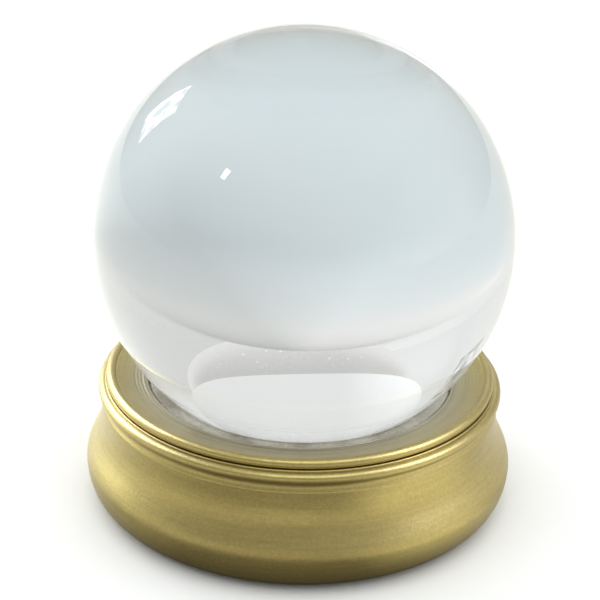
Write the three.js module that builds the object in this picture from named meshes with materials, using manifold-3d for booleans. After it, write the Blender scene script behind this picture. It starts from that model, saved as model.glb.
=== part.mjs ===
// A crystal ball on a round, gold-finished stand.
//
// Millimetres, +Z up. The origin is on the table, under the middle of the stand, at the felt's lower
// face. Every piece except the screws is a body of revolution about Z, drawn as an (r, z) outline.
//
// The clear ball rests on a soft clear ring. The ring lies in a rabbet of the turned collar, which is
// the dished top of the stand and its inner bead. The collar's spigot is pressed into the stand's
// shell, which carries the outer bead, the cove under it and the bulging side. A board closes the
// shell from below: three countersunk screws hold it to the shell's inner flange, and a felt disc is
// glued over them.

import * as THREE from 'three';
import * as BufferGeometryUtils from 'three/addons/utils/BufferGeometryUtils.js';
import Module from 'manifold-3d';

const wasm = await Module();
wasm.setup();

// ---------------------------------------------------------------- driving dimensions

const BALL_RADIUS = 50;

const STAND_HEIGHT = 32.45; // table to the crest of the inner bead
const SEAT_RADIUS = 33; // where the ball's surface leaves the seat ring
const SEAT_DEPTH = 3.2; // crest of the inner bead down to that circle

const RING_WIDTH = 3.8; // seat ring, outside the seat circle
const RING_RISE = 0.5; // outer edge of the ring's top above the seat circle
const RING_EDGE = 0.5; // rounding of that outer edge
const RING_LAND = 2.3; // width of the face under the ball
const RING_LIP = 0.4; // thickness of the ring at its inner edge

const DISH_WIDTH = 7.6; // collar, from the rabbet to the inner bead
const DISH_FALL = 1.7; // drop of the dish over that width
const DISH_SAG = 0.35; // hollow of the dish below a straight slope
const INNER_BEAD = 1.25; // radius of the bead's round
const COLLAR_WALL = 2.2;
const RABBET_WIDTH = 6.2; // floor under the ring
const SPIGOT_LENGTH = 4.2;

const GROOVE_WIDTH = 0.7; // step between the two beads
const OUTER_BEAD = 1.35; // radius of the bead's round
const OUTER_BEAD_REACH = 1.9; // crest of the outer bead beyond the inner one's
const COVE_HEIGHT = 1.9; // hollow under the outer bead
const COVE_DEPTH = 1.15; // from the outer bead's crest in to the cove's bottom
const NECK_EDGE = 0.75; // from the outer bead's crest in to the body's top edge

const BULGE_REACH = 3.9; // widest part of the body beyond its top edge
const BULGE_HEIGHT = 9.4; // widest part above the table
const FLARE = 1.6; // above 1, the side stays slim under its top edge and swells lower down
const FOOT_INSET = 5.4; // lower edge inside the widest part
const SHELL_WALL = 2.2;
const SHOULDER_WIDTH = 2.2; // shelf the collar sits on

const FELT_THICKNESS = 1.5;
const FELT_PROUD = 1.0; // felt below the shell's lower edge
const BOARD_THICKNESS = 2.0;
const BOARD_INSET = 2.7; // board's edge inside the shell's lower edge
const FLANGE_WIDTH = 7.8; // shell's inner flange, inward from the board's edge
const FLANGE_THICKNESS = 3.5;

const SCREW_COUNT = 3;
const SCREW_RADIUS = 1.5;
const SCREW_HEAD_RADIUS = 2.9;
const SCREW_HEAD_RIM = 0.4; // straight edge of the head, below the countersink
const SCREW_HEAD_HEIGHT = 1.4;

const CLEARANCE = 0.3; // between neighbouring pieces
const TURN_STEPS = 48; // facets round a full turn
const SCREW_STEPS = 16;

// ---------------------------------------------------------------- derived places

const seatZ = STAND_HEIGHT - SEAT_DEPTH;
const ballZ = seatZ + Math.sqrt(BALL_RADIUS ** 2 - SEAT_RADIUS ** 2);

// Height of the ball's underside, lowered by a gap, at radius r.
function underBall(r, gap) {
  return ballZ - Math.sqrt((BALL_RADIUS + gap) ** 2 - r ** 2);
}

const ringOuter = SEAT_RADIUS + RING_WIDTH;
const ringInner = SEAT_RADIUS - RING_LAND;
const rabbetRadius = ringOuter + CLEARANCE;
const ringUnderside = underBall(ringInner, CLEARANCE) - RING_LIP;
const rabbetFloor = ringUnderside - CLEARANCE;
const collarHole = rabbetRadius - RABBET_WIDTH;

const innerBeadR = rabbetRadius + DISH_WIDTH + INNER_BEAD;
const innerBeadZ = STAND_HEIGHT - INNER_BEAD;
const collarRadius = innerBeadR + INNER_BEAD;
const dishTop = innerBeadZ + INNER_BEAD / 2;
const dishBottom = dishTop - DISH_FALL;

const outerCrest = collarRadius + OUTER_BEAD_REACH;
const outerBeadR = outerCrest - OUTER_BEAD;
const grooveZ = innerBeadZ - INNER_BEAD / 2;
const outerBeadZ = grooveZ - GROOVE_WIDTH - OUTER_BEAD;
const neckRadius = outerCrest - NECK_EDGE;
const neckZ = outerBeadZ - OUTER_BEAD - COVE_HEIGHT;

const bulgeRadius = neckRadius + BULGE_REACH;
const footRadius = bulgeRadius - FOOT_INSET;
const shoulderZ = grooveZ - CLEARANCE;
const boreRadius = collarRadius - SHOULDER_WIDTH;
const spigotRadius = boreRadius - CLEARANCE;
const spigotZ = grooveZ - SPIGOT_LENGTH;

const recessRadius = footRadius - BOARD_INSET;
const boardRadius = recessRadius - CLEARANCE;
const boardZ = FELT_THICKNESS + CLEARANCE;
const flangeZ = boardZ + BOARD_THICKNESS + CLEARANCE;
const flangeTop = flangeZ + FLANGE_THICKNESS;
const flangeRadius = recessRadius - FLANGE_WIDTH;
const screwCircle = (flangeRadius + recessRadius) / 2;
const screwLength = flangeTop - boardZ;

// ---------------------------------------------------------------- outlines

const point = (r, z) => new THREE.Vector2(r, z);

// Points on a circle's or an ellipse's arc, angles in degrees from +r towards +z.
function arc(centreR, centreZ, radiusR, radiusZ, from, to, steps) {
  const points = [];
  for (let i = 0; i <= steps; i += 1) {
    const angle = THREE.MathUtils.degToRad(from + ((to - from) * i) / steps);
    points.push(point(centreR + radiusR * Math.cos(angle), centreZ + radiusZ * Math.sin(angle)));
  }
  return points;
}

// The body's side from its top edge down to the widest part: a smooth S.
function sideRadius(z) {
  const t = Math.max(0, (neckZ - z) / (neckZ - BULGE_HEIGHT)) ** FLARE;
  return neckRadius + (BULGE_REACH * (1 - Math.cos(Math.PI * t))) / 2;
}

// The body's side below the widest part: a quarter of an ellipse.
function footSideRadius(z) {
  const t = (BULGE_HEIGHT - z) / (BULGE_HEIGHT - FELT_PROUD);
  return footRadius + FOOT_INSET * Math.sqrt(1 - t ** 2);
}

function seatRingOutline() {
  const landSteps = 3;
  const land = [];
  for (let i = 0; i <= landSteps; i += 1) {
    const r = ringInner + (RING_LAND * i) / landSteps;
    land.push(point(r, underBall(r, CLEARANCE)));
  }
  const meniscus = point(SEAT_RADIUS + RING_WIDTH / 3, seatZ - CLEARANCE);
  const edgeZ = seatZ + RING_RISE - RING_EDGE;
  const edge = arc(ringOuter - RING_EDGE, edgeZ, RING_EDGE, RING_EDGE, 90, 0, 3);
  const bottom = [point(ringOuter, ringUnderside), point(ringInner, ringUnderside)];
  return [...land, meniscus, ...edge, ...bottom];
}

function collarOutline() {
  const dishSteps = 6;
  const dish = [];
  for (let i = 0; i <= dishSteps; i += 1) {
    const t = i / dishSteps;
    const hollow = DISH_SAG * Math.sin(Math.PI * t);
    dish.push(point(rabbetRadius + DISH_WIDTH * t, dishBottom + DISH_FALL * t - hollow));
  }
  const bead = arc(innerBeadR, innerBeadZ, INNER_BEAD, INNER_BEAD, 150, -30, 8);
  const shelfZ = rabbetFloor - COLLAR_WALL;
  const underDish = dishBottom - COLLAR_WALL;
  const skirtR = rabbetRadius + COLLAR_WALL;
  return [
    point(collarHole, rabbetFloor),
    point(rabbetRadius, rabbetFloor),
    ...dish,
    ...bead.slice(1),
    point(spigotRadius + SHOULDER_WIDTH, grooveZ),
    point(spigotRadius, grooveZ),
    point(spigotRadius, spigotZ),
    point(spigotRadius - COLLAR_WALL, spigotZ),
    point(spigotRadius - COLLAR_WALL, underDish),
    point(skirtR, underDish),
    point(skirtR, shelfZ),
    point(collarHole, shelfZ),
  ];
}

function shellOutline() {
  const foot = arc(footRadius, BULGE_HEIGHT, FOOT_INSET, BULGE_HEIGHT - FELT_PROUD, -90, 0, 9);
  const sideSteps = 10;
  const side = [];
  for (let i = 1; i <= sideSteps; i += 1) {
    const z = BULGE_HEIGHT + ((neckZ - BULGE_HEIGHT) * i) / sideSteps;
    side.push(point(sideRadius(z), z));
  }
  const coveZ = neckZ + COVE_HEIGHT / 2;
  const cove = [point(outerCrest - COVE_DEPTH, coveZ)];
  const bead = arc(outerBeadR, outerBeadZ, OUTER_BEAD, OUTER_BEAD, -60, 90, 8);
  const top = [
    point(outerBeadR - OUTER_BEAD / 2, shoulderZ),
    point(boreRadius, shoulderZ),
    point(boreRadius, spigotZ - CLEARANCE),
  ];
  const innerSteps = 6;
  const inner = [];
  for (let i = 0; i <= innerSteps; i += 1) {
    const z = neckZ - SHELL_WALL + ((flangeTop - neckZ + SHELL_WALL) * i) / innerSteps;
    const outside = z > BULGE_HEIGHT ? sideRadius(z) : footSideRadius(z);
    inner.push(point(outside - SHELL_WALL, z));
  }
  return [
    point(recessRadius, FELT_PROUD),
    ...foot,
    ...side,
    ...cove,
    ...bead,
    ...top,
    ...inner,
    point(flangeRadius, flangeTop),
    point(flangeRadius, flangeZ),
    point(recessRadius, flangeZ),
  ];
}

// Countersunk screw, head down, along its own axis from z = 0. A gap makes the hole for it; half
// the gap upwards keeps the sloping faces a whole gap apart.
function screwOutline(gap, length) {
  return [
    point(0, -gap),
    point(SCREW_HEAD_RADIUS + gap, -gap),
    point(SCREW_HEAD_RADIUS + gap, SCREW_HEAD_RIM + gap / 2),
    point(SCREW_RADIUS + gap, SCREW_HEAD_HEIGHT + gap / 2),
    point(SCREW_RADIUS + gap, length),
    point(0, length),
  ];
}

// ---------------------------------------------------------------- solids

// Turns an (r, z) outline, drawn either way round, into a solid about Z. An outline that starts off
// the axis is closed on itself.
function turned(outline, steps) {
  const points = THREE.ShapeUtils.isClockWise(outline) ? [...outline].reverse() : [...outline];
  if (points[0].x > 0) points.push(points[0].clone());
  const geometry = new THREE.LatheGeometry(points, steps);
  geometry.rotateX(Math.PI / 2);
  return welded(geometry);
}

// Merges shared vertices and drops the triangles that close up on the axis.
function welded(geometry) {
  const bare = geometry.clone();
  bare.deleteAttribute('normal');
  bare.deleteAttribute('uv');
  const merged = BufferGeometryUtils.mergeVertices(bare, 1e-5);
  const index = merged.getIndex().array;
  const kept = [];
  for (let i = 0; i < index.length; i += 3) {
    const [a, b, c] = [index[i], index[i + 1], index[i + 2]];
    if (a !== b && b !== c && c !== a) kept.push(a, b, c);
  }
  merged.setIndex(kept);
  return merged;
}

function toSolid(geometry) {
  return new wasm.Manifold(
    new wasm.Mesh({
      numProp: 3,
      vertProperties: new Float32Array(geometry.getAttribute('position').array),
      triVerts: new Uint32Array(geometry.getIndex().array),
    }),
  );
}

function toGeometry(solid) {
  const mesh = solid.getMesh();
  const geometry = new THREE.BufferGeometry();
  geometry.setAttribute('position', new THREE.BufferAttribute(mesh.vertProperties, 3));
  geometry.setIndex(new THREE.BufferAttribute(mesh.triVerts, 1));
  return geometry;
}

// Where each screw stands: on a circle, evenly spaced.
function screwPlaces() {
  const places = [];
  for (let i = 0; i < SCREW_COUNT; i += 1) {
    const angle = (2 * Math.PI * i) / SCREW_COUNT + Math.PI / 2;
    places.push(
      new THREE.Vector3(screwCircle * Math.cos(angle), screwCircle * Math.sin(angle), boardZ),
    );
  }
  return places;
}

// Cuts the screws' holes, with clearance, through a piece.
function drilled(geometry) {
  let solid = toSolid(geometry);
  for (const place of screwPlaces()) {
    const hole = turned(screwOutline(CLEARANCE, screwLength + FLANGE_THICKNESS), SCREW_STEPS);
    hole.translate(place.x, place.y, place.z);
    solid = solid.subtract(toSolid(hole));
  }
  return toGeometry(solid);
}

function disc(radius, bottom, thickness) {
  const outline = [point(0, bottom), point(radius, bottom), point(radius, bottom + thickness)];
  return turned([...outline, point(0, bottom + thickness)], TURN_STEPS);
}

function ball() {
  const outline = arc(0, ballZ, BALL_RADIUS, BALL_RADIUS, -90, 90, TURN_STEPS / 2);
  outline[0].x = 0;
  outline[outline.length - 1].x = 0;
  return turned(outline, TURN_STEPS);
}

// ---------------------------------------------------------------- assembly

const clear = { color: 0xe6eef2, roughness: 0.02, metalness: 0, transparent: true, opacity: 0.5 };
const silicone = { color: 0xc9cac8, roughness: 0.25, metalness: 0, transparent: true, opacity: 0.7 };
const gold = { color: 0xc2ae62, roughness: 0.32, metalness: 1 };
const fibreboard = { color: 0x4a3a2a, roughness: 0.9, metalness: 0 };
const steel = { color: 0x8c8f92, roughness: 0.35, metalness: 1 };
const felt = { color: 0x1f2a22, roughness: 1, metalness: 0 };

const crystalBall = new THREE.Group();

function add(name, geometry, finish) {
  geometry.computeVertexNormals();
  const mesh = new THREE.Mesh(geometry, new THREE.MeshStandardMaterial(finish));
  mesh.name = name;
  crystalBall.add(mesh);
  return mesh;
}

add('ball', ball(), clear);
add('seat_ring', turned(seatRingOutline(), TURN_STEPS), silicone);
add('seat_collar', turned(collarOutline(), TURN_STEPS), gold);
add('stand_shell', drilled(turned(shellOutline(), TURN_STEPS)), gold);
add('base_board', drilled(disc(boardRadius, boardZ, BOARD_THICKNESS)), fibreboard);
add('felt_pad', disc(boardRadius, 0, FELT_THICKNESS), felt);

screwPlaces().forEach((place, i) => {
  const screw = add(`base_screw_${i + 1}`, turned(screwOutline(0, screwLength), SCREW_STEPS), steel);
  screw.position.copy(place);
});

export default crystalBall;
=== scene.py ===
# %% [markdown]
# # A crystal ball on its stand
#
# The real object is a solid, clear ball that rests on a soft clear ring in the dished top of a round,
# gold-finished stand. The design already exists as plain solids with their true places and sizes. This
# lesson dresses those solids: fine turned surfaces in place of the faceted ones, glass that bends light,
# satin gold with the marks of the lathe, and a small studio to look at it in.

import math

import bmesh
import bpy
from mathutils import Matrix, Vector


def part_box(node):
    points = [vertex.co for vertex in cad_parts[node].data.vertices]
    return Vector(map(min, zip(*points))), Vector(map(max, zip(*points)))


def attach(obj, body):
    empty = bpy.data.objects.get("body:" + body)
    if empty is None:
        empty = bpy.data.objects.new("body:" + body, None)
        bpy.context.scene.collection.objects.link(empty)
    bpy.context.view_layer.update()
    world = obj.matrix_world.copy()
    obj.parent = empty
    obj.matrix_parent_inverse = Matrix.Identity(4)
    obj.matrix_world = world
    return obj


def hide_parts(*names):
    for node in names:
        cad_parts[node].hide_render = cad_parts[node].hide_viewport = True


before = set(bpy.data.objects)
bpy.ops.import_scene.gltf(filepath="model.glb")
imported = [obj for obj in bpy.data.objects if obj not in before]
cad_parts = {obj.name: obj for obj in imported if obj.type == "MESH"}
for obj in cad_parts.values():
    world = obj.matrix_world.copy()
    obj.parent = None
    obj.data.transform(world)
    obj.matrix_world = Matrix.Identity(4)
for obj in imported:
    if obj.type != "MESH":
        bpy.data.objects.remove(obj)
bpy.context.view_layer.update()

# %% [markdown]
# ## Measures
#
# Everything here is turned on one axis, so a piece is known by its radii and heights. They are read from
# the solids wherever a solid's box gives them. What a box can't give, such as the size of a bead's round,
# is a named length in metres.

# %% Read the pieces' radii and heights
MM = 0.001


def radius_of(node):
    """Outer radius of a turned solid."""
    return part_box(node)[1].x


def heights_of(node):
    """Lowest and highest height of a solid."""
    low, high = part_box(node)
    return low.z, high.z


ball_low, ball_high = heights_of("ball")
ball_radius = (ball_high - ball_low) / 2
ball_centre = Vector((0, 0, (ball_low + ball_high) / 2))

collar_radius = radius_of("seat_collar")
collar_low, collar_high = heights_of("seat_collar")
ring_radius = radius_of("seat_ring")
ring_low, ring_high = heights_of("seat_ring")
shell_radius = radius_of("stand_shell")
shell_low, shell_high = heights_of("stand_shell")
felt_radius = radius_of("felt_pad")
felt_low, felt_high = heights_of("felt_pad")
print("ball radius", round(ball_radius, 4), "centre height", round(ball_centre.z, 4))
print("stand radius", round(shell_radius, 4), "height", round(collar_high, 4))

# %% [markdown]
# ## Turning a piece
#
# A lathe makes a shape from one outline, and so does Blender's spin: a loop of vertices in the XZ plane
# is swept round Z. A Screw modifier would do the same, but a spin leaves a real mesh at once, which can
# be merged, checked and shaded. Long straight stretches need only their ends, and rounds are arcs.

# %% Helpers for outlines
def arc(centre_r, centre_z, radius_r, radius_z, start, end, steps):
    """Points (r, z) on an arc, angles in degrees from outwards (0) to upwards (90)."""
    points = []
    for i in range(steps + 1):
        angle = math.radians(start + (end - start) * i / steps)
        points.append((centre_r + radius_r * math.cos(angle), centre_z + radius_z * math.sin(angle)))
    return points


def round_bead(centre_r, centre_z, radius, start, end, steps=24):
    """The round of a bead."""
    return arc(centre_r, centre_z, radius, radius, start, end, steps)


# %% Spin an outline into a piece
TURN_STEPS = 256
WELD = 0.002 * MM
SHARP_ANGLE = math.radians(34)


def turned(name, outline, closed=True, steps=TURN_STEPS):
    """A piece turned from an (r, z) outline; an outline that ends on the axis isn't closed."""
    bm = bmesh.new()
    corners = [bm.verts.new((r, 0, z)) for r, z in outline]
    edges = [bm.edges.new(pair) for pair in zip(corners, corners[1:])]
    if closed:
        edges.append(bm.edges.new((corners[-1], corners[0])))
    bmesh.ops.spin(
        bm, geom=corners + edges, cent=(0, 0, 0), axis=(0, 0, 1), dvec=(0, 0, 0),
        angle=math.tau, steps=steps, use_merge=True, use_normal_flip=False, use_duplicate=False,
    )
    bmesh.ops.remove_doubles(bm, verts=bm.verts, dist=WELD)
    bmesh.ops.recalc_face_normals(bm, faces=bm.faces)
    return finished(name, bm)


def finished(name, bm):
    """Turns a bmesh into an object at the origin, shaded smooth with its crisp edges kept."""
    mesh = bpy.data.meshes.new(name)
    bm.to_mesh(mesh)
    bm.free()
    mesh.shade_smooth()
    mesh.set_sharp_from_angle(angle=SHARP_ANGLE)
    piece = bpy.data.objects.new(name, mesh)
    bpy.context.scene.collection.objects.link(piece)
    print(name, len(mesh.polygons), "faces")
    return piece


def dress(piece, material, body, slot, *nodes):
    """Gives a piece its finish, the body it moves with and the solids it stands for."""
    piece.data.materials.append(material)
    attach(piece, body)
    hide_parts(*nodes)
    return piece


# %% [markdown]
# ## Effects shared by the finishes
#
# Three effects come back in several finishes, so each is a node group, built once and placed with its own
# values. The lathe leaves fine rings that run round the axis and break off here and there: noise that
# changes fast with radius and height, and slowly with the angle. The angle enters as its sine and cosine,
# so the pattern closes on itself and has no seam. The second group scatters rare small pits, and the
# third is a soft cloud for handling marks.

# %% A small kit for node groups
def new_group(name, inputs, outputs):
    """An empty node group with float inputs {name: default} and outputs {name: socket type}."""
    group = bpy.data.node_groups.new(name, "ShaderNodeTree")
    for label, default in inputs.items():
        socket = group.interface.new_socket(label, in_out="INPUT", socket_type="NodeSocketFloat")
        socket.default_value = default
    for label, kind in outputs.items():
        group.interface.new_socket(label, in_out="OUTPUT", socket_type=kind)
    source = group.nodes.new("NodeGroupInput")
    result = group.nodes.new("NodeGroupOutput")
    return group, source, result


def maths(tree, operation, first, second=None):
    """A Math node; each input is a socket or a number."""
    node = tree.nodes.new("ShaderNodeMath")
    node.operation = operation
    for i, value in enumerate((first, second)):
        if isinstance(value, bpy.types.NodeSocket):
            tree.links.new(value, node.inputs[i])
        elif value is not None:
            node.inputs[i].default_value = value
    return node.outputs[0]


def remap(tree, value, low, high, to_low=0.0, to_high=1.0):
    """A clamped Map Range node."""
    node = tree.nodes.new("ShaderNodeMapRange")
    tree.links.new(value, node.inputs["Value"])
    node.inputs["From Min"].default_value = low
    node.inputs["From Max"].default_value = high
    node.inputs["To Min"].default_value = to_low
    node.inputs["To Max"].default_value = to_high
    return node.outputs["Result"]


def object_position(tree):
    """Object coordinates: metres in the object's own frame."""
    return tree.nodes.new("ShaderNodeTexCoord").outputs["Object"]


def split(tree, vector):
    """The x, y and z of a vector socket."""
    node = tree.nodes.new("ShaderNodeSeparateXYZ")
    tree.links.new(vector, node.inputs[0])
    return node.outputs[:]


def axis_parts(tree):
    """Radius from the axis, height, and the angle's cosine and sine."""
    x, y, z = split(tree, object_position(tree))
    square = maths(tree, "ADD", maths(tree, "MULTIPLY", x, x), maths(tree, "MULTIPLY", y, y))
    radius = maths(tree, "MAXIMUM", maths(tree, "SQRT", square), 1e-5)
    return radius, z, maths(tree, "DIVIDE", x, radius), maths(tree, "DIVIDE", y, radius)


# %% Turned marks
def make_turned_marks():
    """Fine rings round the axis. Fineness is rings per metre, Run how often a ring breaks off."""
    group, source, result = new_group(
        "turned_marks", {"Fineness": 3000.0, "Run": 3.0}, {"Marks": "NodeSocketFloat"}
    )
    radius, height, cosine, sine = axis_parts(group)
    place = group.nodes.new("ShaderNodeCombineXYZ")
    group.links.new(maths(group, "MULTIPLY", radius, source.outputs["Fineness"]), place.inputs["X"])
    group.links.new(maths(group, "MULTIPLY", cosine, source.outputs["Run"]), place.inputs["Y"])
    group.links.new(maths(group, "MULTIPLY", sine, source.outputs["Run"]), place.inputs["Z"])
    noise = group.nodes.new("ShaderNodeTexNoise")
    noise.noise_dimensions = "4D"
    noise.inputs["Scale"].default_value = 1.0
    noise.inputs["Detail"].default_value = 3.0
    noise.inputs["Roughness"].default_value = 0.6
    group.links.new(place.outputs[0], noise.inputs["Vector"])
    group.links.new(maths(group, "MULTIPLY", height, source.outputs["Fineness"]), noise.inputs["W"])
    group.links.new(noise.outputs["Fac"], result.inputs["Marks"])
    return group


# %% Pits and handling clouds
def make_pits():
    """Rare small round pits: 1 in a pit, 0 elsewhere. Spread is cells per metre."""
    group, source, result = new_group(
        "pits", {"Spread": 120.0, "Size": 0.05, "Share": 0.08}, {"Pits": "NodeSocketFloat"}
    )
    cells = group.nodes.new("ShaderNodeTexVoronoi")
    group.links.new(object_position(group), cells.inputs["Vector"])
    group.links.new(source.outputs["Spread"], cells.inputs["Scale"])
    near = maths(group, "LESS_THAN", cells.outputs["Distance"], source.outputs["Size"])
    lot = group.nodes.new("ShaderNodeSeparateColor")
    group.links.new(cells.outputs["Color"], lot.inputs[0])
    chosen = maths(group, "LESS_THAN", lot.outputs[0], source.outputs["Share"])
    group.links.new(maths(group, "MULTIPLY", near, chosen), result.inputs["Pits"])
    return group


def make_cloud():
    """Soft uneven patches, from 0 to 1."""
    group, source, result = new_group(
        "handling_cloud", {"Scale": 40.0, "Low": 0.35, "High": 0.7}, {"Cloud": "NodeSocketFloat"}
    )
    noise = group.nodes.new("ShaderNodeTexNoise")
    noise.inputs["Detail"].default_value = 5.0
    noise.inputs["Roughness"].default_value = 0.55
    group.links.new(object_position(group), noise.inputs["Vector"])
    group.links.new(source.outputs["Scale"], noise.inputs["Scale"])
    spread = group.nodes.new("ShaderNodeMapRange")
    group.links.new(noise.outputs["Fac"], spread.inputs["Value"])
    group.links.new(source.outputs["Low"], spread.inputs["From Min"])
    group.links.new(source.outputs["High"], spread.inputs["From Max"])
    group.links.new(spread.outputs["Result"], result.inputs["Cloud"])
    return group


turned_marks = make_turned_marks()
pits = make_pits()
handling_cloud = make_cloud()
print("node groups:", [g.name for g in bpy.data.node_groups])

# %% A small kit for materials
def new_material(name, **settings):
    """A material with one Principled shader; settings name its sockets with underscores for spaces."""
    material = bpy.data.materials.new(name)
    material.use_nodes = True
    shader = material.node_tree.nodes["Principled BSDF"]
    for label, value in settings.items():
        shader.inputs[label.replace("_", " ")].default_value = value
    return material, material.node_tree, shader


def effect(tree, group, output, **values):
    """Places a node group and returns one of its outputs."""
    node = tree.nodes.new("ShaderNodeGroup")
    node.node_tree = group
    for label, value in values.items():
        node.inputs[label].default_value = value
    return node.outputs[output]


def blend_colour(tree, factor, first, second, mode="MIX"):
    """A colour Mix node; each colour is a socket or an (r, g, b)."""
    node = tree.nodes.new("ShaderNodeMix")
    node.data_type = "RGBA"
    node.blend_type = mode
    if isinstance(factor, bpy.types.NodeSocket):
        tree.links.new(factor, node.inputs["Factor"])
    else:
        node.inputs["Factor"].default_value = factor
    for socket, colour in ((node.inputs[6], first), (node.inputs[7], second)):
        if isinstance(colour, bpy.types.NodeSocket):
            tree.links.new(colour, socket)
        else:
            socket.default_value = (*colour, 1.0)
    return node.outputs[2]


def ray_kind(tree, kind):
    """1 where the look comes by this kind of ray, such as through the glass."""
    return tree.nodes.new("ShaderNodeLightPath").outputs[kind]


def add_bump(tree, shader, height, strength, distance, socket="Normal"):
    """Feeds a Bump node to the shader's normal."""
    bump = tree.nodes.new("ShaderNodeBump")
    bump.inputs["Strength"].default_value = strength
    bump.inputs["Distance"].default_value = distance
    tree.links.new(height, bump.inputs["Height"])
    tree.links.new(bump.outputs["Normal"], shader.inputs[socket])


# %% [markdown]
# ## Satin gold
#
# The stand's finish is a lacquered satin gold. It isn't a mirror: the lathe's marks blur every reflection
# and draw it out round the stand, so roughness does most of the work. The marks change the colour and the
# roughness a little and the surface very little. A thin clear coat over the metal gives the pale, creamy
# glints that bare gold wouldn't have. A fine grain lies over everything, in colour and as low bumps. The
# dish is the same metal, but greyer towards the ball, a painted reflection of the pale glass, with a few
# broad dark rings. Where the gold is seen through the glass it is drawn paler than it is. That is a choice
# of look and not a property of the metal.

# %% Make the gold finishes
GOLD = (0.445, 0.362, 0.132)
GOLD_LIGHT = (0.53, 0.445, 0.18)
GOLD_DARK = (0.28, 0.21, 0.07)
# Grey for the dish near the ball: a painted reflection of the pale glass.
BALL_REFLECTION_GREY = (0.37, 0.34, 0.25)
FEED_DARK = (0.15, 0.13, 0.09)
PIT_DARK = (0.03, 0.025, 0.015)
PALE = (0.78, 0.80, 0.82)

EVENNESS = 0.7
GRAIN_SHARE = 0.5
CLOUD_SHARE = 0.25
BALL_REFLECTION_SHARE = 0.85
FEED_SHARE = 0.75
FEED_START = 1.0 * MM
FEED_END = 5.5 * MM
PALE_SHARE = 0.7


def make_gold(name, fineness, grey_from=None, grey_to=None):
    """Satin gold; between two radii it can fade to grey, a painted reflection of the ball."""
    material, tree, shader = new_material(
        name, Metallic=1.0, Coat_Weight=0.3, Coat_Roughness=0.4, Coat_IOR=1.45
    )
    marks = effect(tree, turned_marks, "Marks", Fineness=fineness, Run=2.5)
    fine = effect(tree, turned_marks, "Marks", Fineness=fineness * 4, Run=9.0)
    cloud = effect(tree, handling_cloud, "Cloud", Scale=55.0)
    grain = effect(tree, handling_cloud, "Cloud", Scale=1500.0, Low=0.3, High=0.7)
    speck = effect(tree, pits, "Pits", Spread=95.0, Size=0.05, Share=0.05)
    colour = blend_colour(tree, remap(tree, marks, 0.3, 0.7), GOLD_DARK, GOLD_LIGHT)
    colour = blend_colour(tree, EVENNESS, colour, GOLD)
    colour = blend_colour(tree, remap(tree, grain, 0, 1, 0, GRAIN_SHARE), colour, GOLD_DARK)
    colour = blend_colour(tree, remap(tree, cloud, 0, 1, 0, CLOUD_SHARE), colour, GOLD_DARK)
    if grey_from is not None:
        # The dish turns greyer towards the ball, as a painted reflection of the pale glass.
        radius = axis_parts(tree)[0]
        radial_fade = remap(tree, radius, grey_from, grey_to, BALL_REFLECTION_SHARE, 0.0)
        colour = blend_colour(tree, radial_fade, colour, BALL_REFLECTION_GREY)
        feed = effect(tree, turned_marks, "Marks", Fineness=1150.0, Run=0.8)
        inner_half = remap(
            tree, radius, grey_from + FEED_START, grey_from + FEED_END, FEED_SHARE, 0.0
        )
        feed = maths(tree, "MULTIPLY", remap(tree, feed, 0.46, 0.62), inner_half)
        colour = blend_colour(tree, feed, colour, FEED_DARK)
    colour = blend_colour(tree, speck, colour, PIT_DARK)
    through = ray_kind(tree, "Is Transmission Ray")
    colour = blend_colour(tree, maths(tree, "MULTIPLY", through, PALE_SHARE), colour, PALE)
    tree.links.new(colour, shader.inputs["Base Color"])
    turned_rough = remap(tree, fine, 0.3, 0.7, 0.30, 0.42)
    rough = maths(tree, "ADD", turned_rough, remap(tree, cloud, 0, 1, 0, 0.06))
    tree.links.new(rough, shader.inputs["Roughness"])
    low_grain = maths(tree, "MULTIPLY", grain, 0.7)
    height = maths(tree, "ADD", maths(tree, "MULTIPLY", marks, 0.5), low_grain)
    add_bump(tree, shader, maths(tree, "SUBTRACT", height, speck), 0.5, 0.05 * MM)
    return material


satin_gold = make_gold("satin_gold", 1500.0)
satin_gold_top = make_gold("satin_gold_top", 2600.0, ring_radius, collar_radius - 3.0 * MM)
print("gold finishes ready")

# %% [markdown]
# ## The stand's shell
#
# The shell is spun sheet metal: an outer bead, a cove under it, a softened edge where the body starts, and
# a side that swells in one smooth S and tucks in at the foot. The side stays slim under its top edge, so
# the S is bent downwards by a power. A small rounded lip stands just outside the inner bead. The outline
# goes once round the wall, outside and inside, so the piece has a real thickness and a real hollow.

# %% Name the shell's measures
OUTER_BEAD = 1.35 * MM
BEAD_REACH = 1.9 * MM
BEAD_DROP = 0.7 * MM
COVE_HEIGHT = 1.9 * MM
COVE_DEPTH = 1.15 * MM
NECK_EDGE = 0.75 * MM
BULGE_HEIGHT = 9.4 * MM
FLARE = 1.6
FOOT_INSET = 5.4 * MM
WALL = 2.2 * MM
BORE_INSET = 2.2 * MM
RECESS_INSET = 2.7 * MM
FLANGE_WIDTH = 7.8 * MM
EDGE_ROUND = 0.25 * MM
LIP_REACH = 0.30 * MM
LIP_ROUND = 0.22 * MM

GAP = 0.3 * MM
INNER_BEAD = 1.25 * MM
SPIGOT_LENGTH = 4.2 * MM
FLANGE_THICKNESS = 3.5 * MM
groove_z = collar_high - 1.5 * INNER_BEAD
spigot_z = groove_z - SPIGOT_LENGTH
shoulder_z = groove_z - GAP
flange_low = heights_of("base_board")[1] + GAP
flange_top = flange_low + FLANGE_THICKNESS
print("groove", round(groove_z, 5), "shoulder", round(shoulder_z, 5))
print("shell top", round(shell_high, 5))

bead_crest = collar_radius + BEAD_REACH
outer_bead_r = bead_crest - OUTER_BEAD
outer_bead_z = groove_z - BEAD_DROP - OUTER_BEAD
neck_radius = bead_crest - NECK_EDGE
neck_z = outer_bead_z - OUTER_BEAD - COVE_HEIGHT
foot_radius = shell_radius - FOOT_INSET


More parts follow.
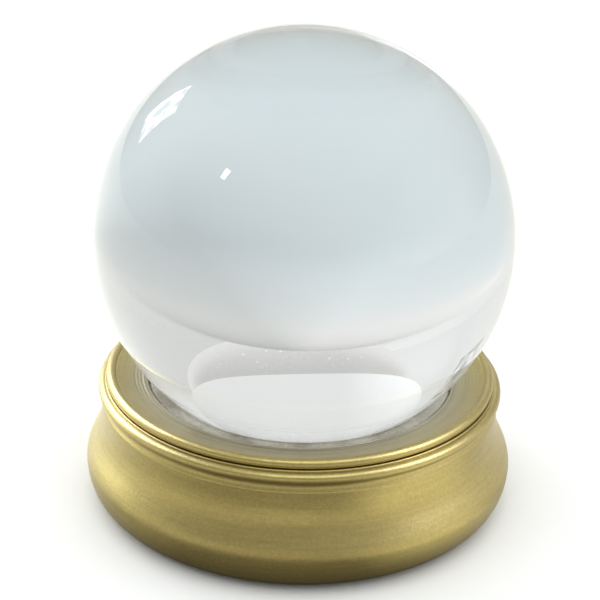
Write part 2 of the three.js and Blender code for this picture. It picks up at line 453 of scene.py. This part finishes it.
def side_radius(z):
    """Radius of the body's swelling side at a height."""
    t = max(0.0, (neck_z - z) / (neck_z - BULGE_HEIGHT)) ** FLARE
    return neck_radius + (shell_radius - neck_radius) * (1 - math.cos(math.pi * t)) / 2


def foot_side_radius(z):
    """Radius of the body below its widest part."""
    t = (BULGE_HEIGHT - z) / (BULGE_HEIGHT - shell_low)
    return foot_radius + (shell_radius - foot_radius) * math.sqrt(1 - t**2)


def body_radius(z):
    """Radius of the body's outside at a height."""
    return side_radius(z) if z > BULGE_HEIGHT else foot_side_radius(z)


print("neck", round(neck_radius, 5), "at", round(neck_z, 5))

# %% Turn the shell
def shell_outline():
    """The shell's wall, from the recess at its lower edge round the outside and back inside."""
    foot_rise = BULGE_HEIGHT - shell_low
    foot = arc(foot_radius, BULGE_HEIGHT, shell_radius - foot_radius, foot_rise, -84, 0, 40)
    side_steps = 44
    side = []
    for i in range(1, side_steps + 1):
        z = BULGE_HEIGHT + (neck_z - BULGE_HEIGHT) * i / side_steps
        side.append((side_radius(z), z))
    cove_r = bead_crest - COVE_DEPTH
    cove = [
        (neck_radius, neck_z),
        (neck_radius - 0.06 * MM, neck_z + 0.10 * MM),
        (cove_r + 0.26 * MM, neck_z + 0.30 * MM),
        (cove_r + 0.16 * MM, neck_z + 0.52 * MM),
        (cove_r + 0.06 * MM, neck_z + 0.75 * MM),
        (cove_r, neck_z + 1.15 * MM),
        (cove_r + 0.02 * MM, neck_z + 1.60 * MM),
    ]
    bead = round_bead(outer_bead_r, outer_bead_z, OUTER_BEAD, -72, 90)
    bore = collar_radius - BORE_INSET
    lip_r = collar_radius + LIP_REACH
    lip = arc(lip_r - LIP_ROUND, shoulder_z - LIP_ROUND, LIP_ROUND, LIP_ROUND, 0, 90, 6)
    top = [
        (lip_r, outer_bead_z + OUTER_BEAD),
        *lip,
        (bore, shoulder_z),
        (bore, spigot_z - GAP),
    ]
    inner_steps = 14
    inner = []
    for i in range(inner_steps + 1):
        z = neck_z - WALL + (flange_top - neck_z + WALL) * i / inner_steps
        inner.append((body_radius(z) - WALL, z))
    recess = foot_radius - RECESS_INSET
    return [
        (recess, shell_low), (foot_radius - EDGE_ROUND, shell_low), *foot, *side[:-1], *cove, *bead,
        *top, *inner, (recess - FLANGE_WIDTH, flange_top), (recess - FLANGE_WIDTH, flange_low),
        (recess, flange_low),
    ]


shell = turned("stand_shell_turned", shell_outline())
dress(shell, satin_gold, "stand", "satin_gold", "stand_shell")

# %% [markdown]
# ## The collar
#
# The collar is the dished top and the inner bead. The dish still shows the lathe's feed as low, round
# ridges, a few hundredths of a millimetre high, that fade outwards. They catch the light one by one,
# which a bump map does poorly at such flat angles, so they are part of the outline.

# %% Turn the collar
DISH_WIDTH = 7.6 * MM
DISH_FALL = 1.7 * MM
DISH_SAG = 0.35 * MM
COLLAR_WALL = 2.2 * MM
RABBET_WIDTH = 6.2 * MM
FEED_RIDGES = 9
FEED_HEIGHT = 0.065 * MM


def collar_outline():
    """The collar's section: rabbet, ridged dish, inner bead, spigot and underside."""
    bead_r = collar_radius - INNER_BEAD
    bead_z = collar_high - INNER_BEAD
    rabbet_r = ring_radius + GAP
    dish_top = bead_z + INNER_BEAD / 2
    dish_bottom = dish_top - DISH_FALL
    dish_steps = FEED_RIDGES * 8
    dish = []
    for i in range(dish_steps):
        t = i / dish_steps
        hollow = DISH_SAG * math.sin(math.pi * t)
        radial_fade = min(1.0, 5 * t) * (1 - t) ** 2
        ridge = FEED_HEIGHT * radial_fade * math.sin(math.tau * FEED_RIDGES * t)
        dish.append((rabbet_r + DISH_WIDTH * t, dish_bottom + DISH_FALL * t - hollow + ridge))
    lip = [(rabbet_r, dish_bottom - 0.12 * MM), (rabbet_r + 0.12 * MM, dish_bottom)]
    bead = round_bead(bead_r, bead_z, INNER_BEAD, 150, -30)
    spigot_r = collar_radius - BORE_INSET - GAP
    return [
        (rabbet_r - RABBET_WIDTH, ring_low - GAP), (rabbet_r, ring_low - GAP), *lip, *dish[2:], *bead,
        (collar_radius - GAP, groove_z), (spigot_r, groove_z), (spigot_r, spigot_z),
        (spigot_r - COLLAR_WALL, spigot_z), (spigot_r - COLLAR_WALL, dish_bottom - COLLAR_WALL),
        (rabbet_r + COLLAR_WALL, dish_bottom - COLLAR_WALL), (rabbet_r + COLLAR_WALL, collar_low),
        (rabbet_r - RABBET_WIDTH, collar_low),
    ]


collar = turned("seat_collar_turned", collar_outline())
dress(collar, satin_gold_top, "stand", "satin_gold_top", "seat_collar")

# %% [markdown]
# ## The soft seat ring
#
# A cast ring of clear silicone keeps the glass off the metal. Its top creeps a little way up the ball,
# as a liquid does before it sets, then dips and ends in a rounded outer edge. It looks grey because it
# is cloudy and full of tiny bubbles. So only a quarter of the light goes through it, and the rest comes
# back from a dull, mottled colour.

# %% Make the silicone finish
silicone, tree, shader = new_material(
    "clear_silicone", Transmission_Weight=0.25, IOR=1.41, Metallic=0.0
)
bubbles = effect(tree, pits, "Pits", Spread=900.0, Size=0.16, Share=0.22)
haze = effect(tree, handling_cloud, "Cloud", Scale=160.0)
tint = blend_colour(tree, haze, (0.80, 0.745, 0.62), (0.42, 0.37, 0.27))
tint = blend_colour(tree, bubbles, tint, (0.93, 0.93, 0.91))
tree.links.new(tint, shader.inputs["Base Color"])
tree.links.new(remap(tree, haze, 0, 1, 0.20, 0.42), shader.inputs["Roughness"])
add_bump(tree, shader, maths(tree, "ADD", haze, bubbles), 0.4, 0.08 * MM)
print("silicone ready")

# %% Turn the seat ring
RING_WIDTH = 3.8 * MM
RING_LAND = 2.3 * MM
RING_EDGE = 0.5 * MM
CREEP = 0.30 * MM
SEAT_GAP = 0.04 * MM
MOULD_LINE = 0.05 * MM

seat_radius = ring_radius - RING_WIDTH


def under_ball(r, gap):
    """Height of the ball's underside at radius r, lowered by a gap."""
    return ball_centre.z - math.sqrt((ball_radius + gap) ** 2 - r**2)


def ring_outline():
    """The ring's section: the face under the ball, the creep, the dip and the rounded edge."""
    inner = seat_radius - RING_LAND
    land_steps = 16
    land = []
    for i in range(land_steps + 1):
        r = inner + (RING_LAND + CREEP) * i / land_steps
        land.append((r, under_ball(r, SEAT_GAP)))
    start_r, start_z = land[-1]
    dip_r = seat_radius + RING_WIDTH / 3
    dip_z = under_ball(seat_radius, SEAT_GAP) - 0.15 * MM
    edge_r = ring_radius - RING_EDGE
    creep = []
    for i in range(1, 11):
        t = i / 10
        creep.append((start_r + (dip_r - start_r) * t, dip_z + (start_z - dip_z) * (1 - t) ** 2.6))
    rise = []
    for i in range(1, 8):
        t = i / 8
        mould_line = MOULD_LINE * (i % 3 == 1)
        rise.append((dip_r + (edge_r - dip_r) * t, dip_z + (ring_high - dip_z) * t * t + mould_line))
    edge = arc(edge_r, ring_high - RING_EDGE, RING_EDGE, RING_EDGE, 90, 0, 10)
    return [*land, *creep, *rise, *edge, (ring_radius, ring_low), (inner, ring_low)]


ring = turned("seat_ring_cast", ring_outline())
dress(ring, silicone, "stand", "clear_silicone", "seat_ring")

# %% [markdown]
# ## The ball
#
# A ball can be spun from a half circle, but its faces then crowd at two poles, and glass shows that. An
# icosphere has faces of one size all over, so light bends evenly through it. The glass is clear with a
# faint blue-grey cast. Its roughness comes from a few rubbed patches, so a highlight has a soft edge here
# and there. Transmission stays a plain value of one.

# %% Make the clear glass
glass, tree, shader = new_material(
    "clear_glass", Transmission_Weight=1.0, IOR=1.5, Metallic=0.0
)
rubbed = effect(tree, handling_cloud, "Cloud", Scale=26.0, Low=0.52, High=0.75)
fine_dust = effect(tree, pits, "Pits", Spread=420.0, Size=0.035, Share=0.05)
cast = blend_colour(tree, rubbed, (0.80, 0.815, 0.82), (0.79, 0.805, 0.81))
tree.links.new(cast, shader.inputs["Base Color"])
rubbed_rough = remap(tree, rubbed, 0, 1, 0.0, 0.012)
rough = maths(tree, "ADD", rubbed_rough, maths(tree, "MULTIPLY", fine_dust, 0.2))
tree.links.new(rough, shader.inputs["Roughness"])
print("glass ready")

# %% Shape the ball
BALL_LEVELS = 7

bm = bmesh.new()
bmesh.ops.create_icosphere(
    bm, subdivisions=BALL_LEVELS, radius=ball_radius, matrix=Matrix.Translation(ball_centre)
)
ball = finished("clear_ball", bm)
dress(ball, glass, "ball", "clear_glass", "ball")

# %% [markdown]
# ## The underside
#
# A fibreboard disc closes the stand and three countersunk screws hold it. The solids already have their
# true shape and holes, so the board keeps its mesh and only gets a finish. The screws are turned again
# with a thread and a cross recess, cut by a Boolean. A pressed felt pad with soft edges covers them.

# %% Make the board's and the screws' finishes
fibreboard, tree, shader = new_material("fibreboard", Metallic=0.0)
fibres = effect(tree, turned_marks, "Marks", Fineness=700.0, Run=60.0)
patches = effect(tree, handling_cloud, "Cloud", Scale=300.0)
colour = blend_colour(tree, fibres, (0.10, 0.065, 0.04), (0.19, 0.125, 0.075))
tree.links.new(colour, shader.inputs["Base Color"])
tree.links.new(remap(tree, patches, 0, 1, 0.72, 0.92), shader.inputs["Roughness"])
add_bump(tree, shader, patches, 0.5, 0.1 * MM)

zinc, tree, shader = new_material("zinc_steel", Metallic=1.0)
marks = effect(tree, turned_marks, "Marks", Fineness=5000.0, Run=4.0)
dulled = effect(tree, handling_cloud, "Cloud", Scale=400.0)
colour = blend_colour(tree, dulled, (0.62, 0.63, 0.65), (0.42, 0.43, 0.44))
tree.links.new(colour, shader.inputs["Base Color"])
tree.links.new(remap(tree, marks, 0.3, 0.7, 0.25, 0.42), shader.inputs["Roughness"])
add_bump(tree, shader, marks, 0.25, 0.03 * MM)

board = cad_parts["base_board"]
board.data.materials.clear()
board.data.materials.append(fibreboard)
print("board and screw finishes ready")

# %% Shape the screws
SCREW_SHANK = 1.5 * MM
SCREW_HEAD = 2.9 * MM
HEAD_RIM = 0.4 * MM
HEAD_HEIGHT = 1.4 * MM
THREAD_PITCH = 0.8 * MM
THREAD_DEPTH = 0.25 * MM
RECESS_WIDTH = 0.75 * MM
RECESS_DEPTH = 0.9 * MM


def screw_outline(low, high):
    """A countersunk head, then a threaded shank that ends in a short point."""
    outline = [(0, low), (SCREW_HEAD - 0.1 * MM, low), (SCREW_HEAD, low + 0.1 * MM)]
    outline += [(SCREW_HEAD, low + HEAD_RIM), (SCREW_SHANK - THREAD_DEPTH, low + HEAD_HEIGHT)]
    z = low + HEAD_HEIGHT
    while z + THREAD_PITCH < high - 0.3 * MM:
        outline.append((SCREW_SHANK, z + THREAD_PITCH / 2))
        outline.append((SCREW_SHANK - THREAD_DEPTH, z + THREAD_PITCH))
        z += THREAD_PITCH
    outline += [(SCREW_SHANK - 0.5 * MM, high), (0, high)]
    return outline


def cut_recess(piece, centre, low):
    """Cuts a cross recess into a screw's head with two crossed bars."""
    bm = bmesh.new()
    for turn in (0, math.pi / 2):
        place = Matrix.Translation((centre.x, centre.y, low)) @ Matrix.Rotation(turn, 4, "Z")
        size = Matrix.Diagonal((SCREW_HEAD * 1.15, RECESS_WIDTH, RECESS_DEPTH * 2, 1))
        bmesh.ops.create_cube(bm, size=1.0, matrix=place @ size)
    cutter = finished("recess_cutter", bm)
    modifier = piece.modifiers.new("recess", "BOOLEAN")
    modifier.object = cutter
    modifier.operation = "DIFFERENCE"
    modifier.use_self = True
    graph = bpy.context.evaluated_depsgraph_get()
    cut = bpy.data.meshes.new_from_object(piece.evaluated_get(graph))
    piece.modifiers.clear()
    piece.data = cut
    bpy.data.objects.remove(cutter)


for node in sorted(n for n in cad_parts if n.startswith("base_screw")):
    low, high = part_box(node)
    centre = (low + high) / 2
    screw = turned(node + "_threaded", screw_outline(low.z, high.z), closed=False, steps=48)
    screw.data.transform(Matrix.Translation((centre.x, centre.y, 0)))
    cut_recess(screw, centre, low.z)
    dress(screw, zinc, "stand", "zinc_steel", node)

# %% Shape the felt pad
FELT_ROUND = 0.4 * MM

felt, tree, shader = new_material(
    "pressed_felt", Metallic=0.0, Sheen_Weight=0.5, Sheen_Roughness=0.6
)
wool = effect(tree, handling_cloud, "Cloud", Scale=1400.0, Low=0.3, High=0.75)
matted = effect(tree, handling_cloud, "Cloud", Scale=90.0)
colour = blend_colour(tree, wool, (0.008, 0.016, 0.010), (0.030, 0.050, 0.034))
colour = blend_colour(tree, remap(tree, matted, 0, 1, 0, 0.4), colour, (0.05, 0.06, 0.05))
tree.links.new(colour, shader.inputs["Base Color"])
tree.links.new(remap(tree, wool, 0, 1, 0.86, 1.0), shader.inputs["Roughness"])
add_bump(tree, shader, wool, 0.8, 0.25 * MM)

edge_r = felt_radius - FELT_ROUND
felt_outline = [(0, felt_low)]
felt_outline += arc(edge_r, felt_low + FELT_ROUND, FELT_ROUND, FELT_ROUND, -90, 0, 6)
felt_outline += arc(edge_r, felt_high - FELT_ROUND, FELT_ROUND, FELT_ROUND, 0, 90, 6)
felt_outline += [(0, felt_high)]
pad = turned("felt_pad_pressed", felt_outline, closed=False)
dress(pad, felt, "stand", "felt", "felt_pad")

# %% [markdown]
# ## The studio
#
# The floor is plain and pale and has no edge in sight. The sky's tone at the horizon is close to the
# floor's far tone, which keeps the line where they meet weak from the front. The ball still shows it as a
# curved edge, and from behind as a hard one. A real room can't be copied
# from an object alone, so this one cheats: the floor has one tone where it is seen straight on, one where
# the gold mirrors it and one where the glass bends it. A Light Path node tells these apart.

# %% Helpers for the studio
def plain_reflection(tree):
    """1 for what is seen in a reflection, but not through the glass."""
    glossy = ray_kind(tree, "Is Glossy Ray")
    bent = ray_kind(tree, "Is Transmission Ray")
    return maths(tree, "MAXIMUM", maths(tree, "SUBTRACT", glossy, bent), 0.0)


def direction(azimuth, elevation):
    """Unit vector: azimuth from +Y towards +X and elevation, in degrees."""
    a, e = math.radians(azimuth), math.radians(elevation)
    return Vector((math.cos(e) * math.sin(a), math.cos(e) * math.cos(a), math.sin(e)))


def facing(azimuth, elevation, distance):
    """A place at a distance from the ball, turned to face it."""
    towards = direction(azimuth, elevation)
    turn = towards.to_track_quat("Z", "Y").to_matrix().to_4x4()
    return Matrix.Translation(ball_centre + towards * distance) @ turn


def vector_maths(tree, operation, first, second=None):
    """A Vector Math node; the second input is a plain vector."""
    node = tree.nodes.new("ShaderNodeVectorMath")
    node.operation = operation
    tree.links.new(first, node.inputs[0])
    if second is not None:
        node.inputs[1].default_value = second
    return node.outputs["Value" if operation in ("DISTANCE", "DOT_PRODUCT") else "Vector"]


# %% Lay the floor
FLOOR_RADIUS = 6.0
PAPER = (0.76, 0.765, 0.765)
PAPER_SHADE = (0.75, 0.755, 0.755)
PAPER_SEEN = (0.92, 0.925, 0.925)
# Floor tones the gold mirrors, with painted light and shade: lit far left, shaded far right, a painted
# shadow by the stand.
GLOSS_FAR_LIT_LEFT = (1.0, 1.0, 0.92)
GLOSS_FAR_SHADED_RIGHT = (0.72, 0.70, 0.64)
GLOSS_STAND_SHADOW = (0.20, 0.19, 0.17)
GLOSS_NEAR = (0.82, 0.78, 0.69)
COOL_CLOSE = (0.635, 0.695, 0.715)
COOL_FAR = (0.79, 0.775, 0.765)
# Darker tones the glass bends: a painted shadow on the floor behind the stand.
SHADOW_CLOSE = (0.475, 0.505, 0.515)
SHADOW_FAR = (0.61, 0.605, 0.585)
# A painted glow on the floor where the gold mirrors it, brightest in a painted streak.
GLOW_STREAK_COLOUR = (4.3, 4.4, 3.8)
STREAK_AZIMUTH = 128
GLOW_STRENGTH = 0.28

floor_paper, tree, shader = new_material("floor_paper", Roughness=0.9)
grain = effect(tree, handling_cloud, "Cloud", Scale=9.0)
pale = blend_colour(tree, grain, PAPER, PAPER_SHADE)
floor_x, floor_y = split(tree, object_position(tree))[:2]
from_axis = axis_parts(tree)[0]

# Seen in the gold, the floor is dim on the near side, where whoever looks at the ball stands. This is
# painted shade, with a painted shadow round the stand, and the far left is painted lighter than the far
# right.
towards_viewer = maths(tree, "DIVIDE", maths(tree, "MULTIPLY", floor_y, -1.0), from_axis)
rightness = remap(tree, maths(tree, "DIVIDE", floor_x, from_axis), -0.6, 0.6)
far_lit_and_shaded = blend_colour(tree, rightness, GLOSS_FAR_LIT_LEFT, GLOSS_FAR_SHADED_RIGHT)
near_shadowed = blend_colour(tree, remap(tree, from_axis, 0.07, 0.20), GLOSS_STAND_SHADOW, GLOSS_NEAR)
gloss_tone = blend_colour(tree, remap(tree, towards_viewer, -0.20, 0.85), far_lit_and_shaded, near_shadowed)
in_gloss = plain_reflection(tree)

# Seen through the glass, the floor is cool on the left and has a painted shadow on the right behind the
# stand.
shadow_side = remap(tree, floor_x, -0.022, 0.034)
painted_shadow = maths(tree, "MULTIPLY", shadow_side, remap(tree, floor_y, 0.105, 0.165))
far = remap(tree, floor_y, 0.18, 0.36)
cool = blend_colour(tree, far, COOL_CLOSE, COOL_FAR)
shadow_tone = blend_colour(tree, far, SHADOW_CLOSE, SHADOW_FAR)
through_glass = blend_colour(tree, painted_shadow, cool, shadow_tone)

tone = blend_colour(tree, in_gloss, pale, gloss_tone)
tone = blend_colour(tree, ray_kind(tree, "Is Transmission Ray"), tone, through_glass)
tone = blend_colour(tree, ray_kind(tree, "Is Camera Ray"), tone, PAPER_SEEN)
tree.links.new(tone, shader.inputs["Base Color"])

# In plain reflections the floor glows with painted light past the stand's own painted shadow, most of all
# in a painted streak on the right of the front.
clear_of_stand = remap(tree, from_axis, shell_radius - 4 * MM, shell_radius + 25 * MM)
streak_side = direction(STREAK_AZIMUTH, 0)
across = maths(tree, "MULTIPLY", floor_x, streak_side.x)
along = maths(tree, "ADD", across, maths(tree, "MULTIPLY", floor_y, streak_side.y))
glow_streak = remap(tree, maths(tree, "DIVIDE", along, from_axis), 0.84, 0.99)
glow_streak = maths(tree, "MULTIPLY", glow_streak, remap(tree, from_axis, 0.20, 0.10))
painted_glow = blend_colour(tree, glow_streak, gloss_tone, GLOW_STREAK_COLOUR)
glow_share = maths(tree, "MULTIPLY", in_gloss, clear_of_stand)
painted_glow = blend_colour(tree, glow_share, (0, 0, 0), painted_glow)
tree.links.new(painted_glow, shader.inputs["Emission Color"])
shader.inputs["Emission Strength"].default_value = GLOW_STRENGTH

bm = bmesh.new()
bmesh.ops.create_circle(bm, cap_ends=True, segments=96, radius=FLOOR_RADIUS)
floor = finished("floor", bm)
floor.data.materials.append(floor_paper)

# %% [markdown]
# ## The round light and its skirt
#
# A clear ball turns all that is behind it upside down, so what stands behind matters most. Here that is a
# big round light with a cloth skirt under it. Low in the ball they show as a pale lens with a grey arch
# over it. Both are hidden from plain reflections through Alpha, or they would leave hard ovals on the
# ball's surface.

# %% Hang the round light and its skirt
LIGHT_PLACE = (-2.3, 27.4)
LIGHT_SPREAD = 27.2
LIGHT_AWAY = 0.63
SKIRT_PLACE = (-0.2, 16.3)
SKIRT_SPREAD = 24.2
SKIRT_AWAY = 0.74
SKIRT_EDGE = (0.300, 0.338)
HEM_OUTER = math.radians(32)
HEM_INNER = math.radians(28)
HEM_SHARE = 0.7


def facing_disc(name, place, spread, distance, material):
    """A disc that faces the ball and fills a cone of the given half angle."""
    bm = bmesh.new()
    bmesh.ops.create_circle(
        bm, cap_ends=True, segments=96, radius=distance * math.tan(math.radians(spread)),
        matrix=facing(*place, distance),
    )
    disc = finished(name, bm)
    disc.data.materials.append(material)


def glowing(name, strength):
    """A white cloth or glass that glows evenly; on the skirt, which is no lamp, the glow is painted light.
    """
    material, tree, shader = new_material(name, Roughness=1.0)
    shader.inputs["Base Color"].default_value = (0, 0, 0, 1)
    shader.inputs["Emission Color"].default_value = (1, 1, 1, 1)
    shader.inputs["Emission Strength"].default_value = strength
    return material, tree, shader


def hide_from_reflections(tree, shader):
    """Makes a piece clear wherever a plain reflection would show it."""
    tree.links.new(maths(tree, "SUBTRACT", 1.0, plain_reflection(tree)), shader.inputs["Alpha"])


lit_cloth, tree, shader = glowing("lit_cloth", 1.0)
leftness = remap(tree, split(tree, object_position(tree))[0], -0.10, -0.28)
colour = blend_colour(tree, leftness, (0.96, 0.96, 0.95), (1.22, 1.24, 1.24))
tree.links.new(colour, shader.inputs["Emission Color"])
hide_from_reflections(tree, shader)

# The skirt is cloth and no lamp, so all of its glow is painted light: darker along the hem, with bright
# painted sparkles on the weave.
skirt_painted_glow, tree, shader = glowing("skirt_painted_glow", 1.0)
weave = effect(tree, handling_cloud, "Cloud", Scale=210.0, Low=0.3, High=0.7)
painted_sparkles = effect(tree, pits, "Pits", Spread=95.0, Size=0.28, Share=0.10)
cloth = blend_colour(tree, weave, (0.86, 0.85, 0.83), (0.70, 0.69, 0.67))
cloth = blend_colour(tree, painted_sparkles, cloth, (1.05, 1.05, 1.05))
skirt_centre = ball_centre + direction(*SKIRT_PLACE) * SKIRT_AWAY
away = vector_maths(tree, "DISTANCE", object_position(tree), skirt_centre)
frayed = maths(tree, "ADD", away, maths(tree, "MULTIPLY", weave, 0.03))
from_ball = vector_maths(tree, "SUBTRACT", object_position(tree), ball_centre)
unit = vector_maths(tree, "NORMALIZE", from_ball)
hem_cosine = vector_maths(tree, "DOT_PRODUCT", unit, direction(*LIGHT_PLACE))
hem = remap(tree, hem_cosine, math.cos(HEM_OUTER), math.cos(HEM_INNER), 0, HEM_SHARE)
cloth = blend_colour(tree, hem, cloth, (0.62, 0.61, 0.59))
colour = blend_colour(tree, remap(tree, frayed, *SKIRT_EDGE), cloth, (0.93, 0.92, 0.90))
tree.links.new(colour, shader.inputs["Emission Color"])
hide_from_reflections(tree, shader)

facing_disc("round_light", LIGHT_PLACE, LIGHT_SPREAD, LIGHT_AWAY, lit_cloth)
facing_disc("light_skirt", SKIRT_PLACE, SKIRT_SPREAD, SKIRT_AWAY, skirt_painted_glow)

# %% [markdown]
# ## Lights
#
# A window and a lamp give the ball its two small highlights. Satin gold needs far more light than the
# glass does, and from other sides, so six soft lights fall on the shell and the collar only. Light
# linking does that: a light with a receiver collection leaves everything else dark.

# %% Set up the window and the lamp
PANEL_AWAY = 0.70
GLASS_DIMMING = 0.85


def dimmed_by_glass(tree, colour):
    """A light's colour, fainter where it is seen through the glass."""
    share = maths(tree, "MULTIPLY", ray_kind(tree, "Is Transmission Ray"), GLASS_DIMMING)
    return blend_colour(tree, share, colour, (0, 0, 0))


def facing_panel(name, azimuth, elevation, width, height, material):
    """A rectangular panel that faces the ball."""
    place = facing(azimuth, elevation, PANEL_AWAY) @ Matrix.Diagonal((width, height, 1, 1))
    bm = bmesh.new()
    bmesh.ops.create_grid(bm, x_segments=1, y_segments=1, size=0.5, matrix=place)
    panel = finished(name, bm)
    panel.data.materials.append(material)


window, tree, shader = glowing("window_glow", 9.0)
leaves = effect(tree, handling_cloud, "Cloud", Scale=22.0, Low=0.42, High=0.66)
leafy = blend_colour(tree, leaves, (0.25, 0.26, 0.26), (1.0, 0.99, 0.96))
tree.links.new(dimmed_by_glass(tree, leafy), shader.inputs["Emission Color"])
lamp_glow = glowing("lamp_glow", 22.0)[0]
facing_panel("window", -48, 21, 0.16, 0.22, window)
facing_panel("lamp", -122.6, 42, 0.035, 0.06, lamp_glow)

# %% Light the gold
WARM = (0.94, 1.0, 0.90)
COOL_LEFT = (0.62, 0.67, 1.0)
COOL_RIGHT = (0.70, 0.75, 1.0)

gold_pieces = bpy.data.collections.new("gold_pieces")
for piece in (shell, collar):
    gold_pieces.objects.link(piece)


def gold_light(name, azimuth, elevation, width, height, radiance, colour=WARM):
    """A soft rectangular light that falls on the gold pieces only."""
    light = bpy.data.lights.new(name, "AREA")
    light.shape = "RECTANGLE"
    light.size = width
    light.size_y = height
    light.energy = radiance * math.pi * width * height
    light.color = colour
    lamp = bpy.data.objects.new(name, light)
    bpy.context.scene.collection.objects.link(lamp)
    lamp.matrix_world = facing(azimuth, elevation, PANEL_AWAY)
    lamp.light_linking.receiver_collection = gold_pieces


gold_light("left_strip", -58, 12, 0.60, 0.40, 3.6)
gold_light("left_high", -54, 37, 0.60, 0.26, 15.0, COOL_LEFT)
gold_light("back_card", 0, 26, 0.60, 0.35, 0.5)
gold_light("right_strip", 104, 36, 0.34, 0.50, 9.0, COOL_RIGHT)
gold_light("top_card", 0, 66, 0.60, 0.40, 1.3)
gold_light("front_card", 172, 56, 0.50, 0.32, 2.4)

# %% [markdown]
# ## The sky
#
# The sky is a few soft blends and no image: pale at the horizon, bright above, dim on the side where
# whoever looks at the ball stands. Like the floor, it has its own tones for what the glass bends and for
# what the gold mirrors.

# %% Make the sky
HORIZON_RIGHT = (0.68, 0.68, 0.66)
HORIZON_LEFT = (0.78, 0.80, 0.79)
RIGHT_THROUGH_GLASS = (0.79, 0.785, 0.77)
LEFT_THROUGH_GLASS = (0.93, 0.94, 0.935)
ZENITH = (1.62, 1.66, 1.68)
ZENITH_IN_GLOSS = (0.95, 1.0, 1.02)
DIM = (0.28, 0.27, 0.25)
DIM_LOW = (1.10, 1.07, 0.98)

world = bpy.data.worlds.new("studio")
world.use_nodes = True
bpy.context.scene.world = world
tree = world.node_tree
sky = tree.nodes.new("ShaderNodeTexCoord").outputs["Generated"]
sky_x, sky_y, sky_z = split(tree, sky)
height = remap(tree, sky_z, 0.34, 0.8)
back = remap(tree, sky_y, -0.45, 0.1)
leftness = remap(tree, sky_x, 0.15, -0.35)
horizon = blend_colour(tree, leftness, HORIZON_RIGHT, HORIZON_LEFT)
seen_through = blend_colour(tree, leftness, RIGHT_THROUGH_GLASS, LEFT_THROUGH_GLASS)
horizon = blend_colour(tree, ray_kind(tree, "Is Transmission Ray"), horizon, seen_through)
front = blend_colour(tree, remap(tree, sky_z, 0.04, 0.22), DIM_LOW, DIM)
low = blend_colour(tree, back, front, horizon)
high = blend_colour(tree, plain_reflection(tree), ZENITH, ZENITH_IN_GLOSS)
tone = blend_colour(tree, height, low, high)


def bright_side(tone, azimuth, elevation, spread, colour):
    """Adds a soft patch of light to the sky round a direction."""
    aim = vector_maths(tree, "DOT_PRODUCT", sky, direction(azimuth, elevation))
    fall = tree.nodes.new("ShaderNodeMapRange")
    fall.interpolation_type = "SMOOTHSTEP"
    fall.inputs["From Min"].default_value = math.cos(math.radians(spread))
    tree.links.new(aim, fall.inputs["Value"])
    return blend_colour(tree, fall.outputs["Result"], tone, dimmed_by_glass(tree, colour), mode="ADD")


tone = bright_side(tone, -66, 8, 40, (0.3, 0.3, 0.29))
tone = bright_side(tone, 100, 4, 40, (0.6, 0.59, 0.56))
tree.links.new(tone, tree.nodes["Background"].inputs["Color"])
tree.nodes["Background"].inputs["Strength"].default_value = 1.0
print("sky from", HORIZON_LEFT, "to", ZENITH)

# %% [markdown]
# ## The camera
#
# The camera stands about four ball widths away, a little above the ball, and is turned a degree and a
# half, as a camera held by hand is. A long lens keeps the ball round.

# %% Place the camera
LENS = 108.0
SENSOR = 36.0
SHIFT = (-0.0062, -0.1082)
BALL_RADII_AWAY = 8.54
CAMERA_ELEVATION = 22.86
CAMERA_ROLL = 1.54

camera_data = bpy.data.cameras.new("camera")
camera_data.sensor_width = SENSOR
camera_data.lens = LENS
camera_data.shift_x, camera_data.shift_y = SHIFT
camera = bpy.data.objects.new("camera", camera_data)
bpy.context.scene.collection.objects.link(camera)
distance = BALL_RADII_AWAY * ball_radius
tilt = math.radians(CAMERA_ELEVATION)
camera.location = ball_centre + Vector((0, -math.cos(tilt), math.sin(tilt))) * distance
look = (ball_centre - camera.location).to_track_quat("-Z", "Y").to_matrix().to_4x4()
camera.rotation_euler = (look @ Matrix.Rotation(math.radians(CAMERA_ROLL), 4, "Z")).to_euler()
bpy.context.scene.camera = camera
bpy.context.scene.view_settings.view_transform = "Standard"
bpy.context.scene.cycles.max_bounces = 16
bpy.context.scene.cycles.transmission_bounces = 16
print("camera at", [round(x, 4) for x in camera.location])
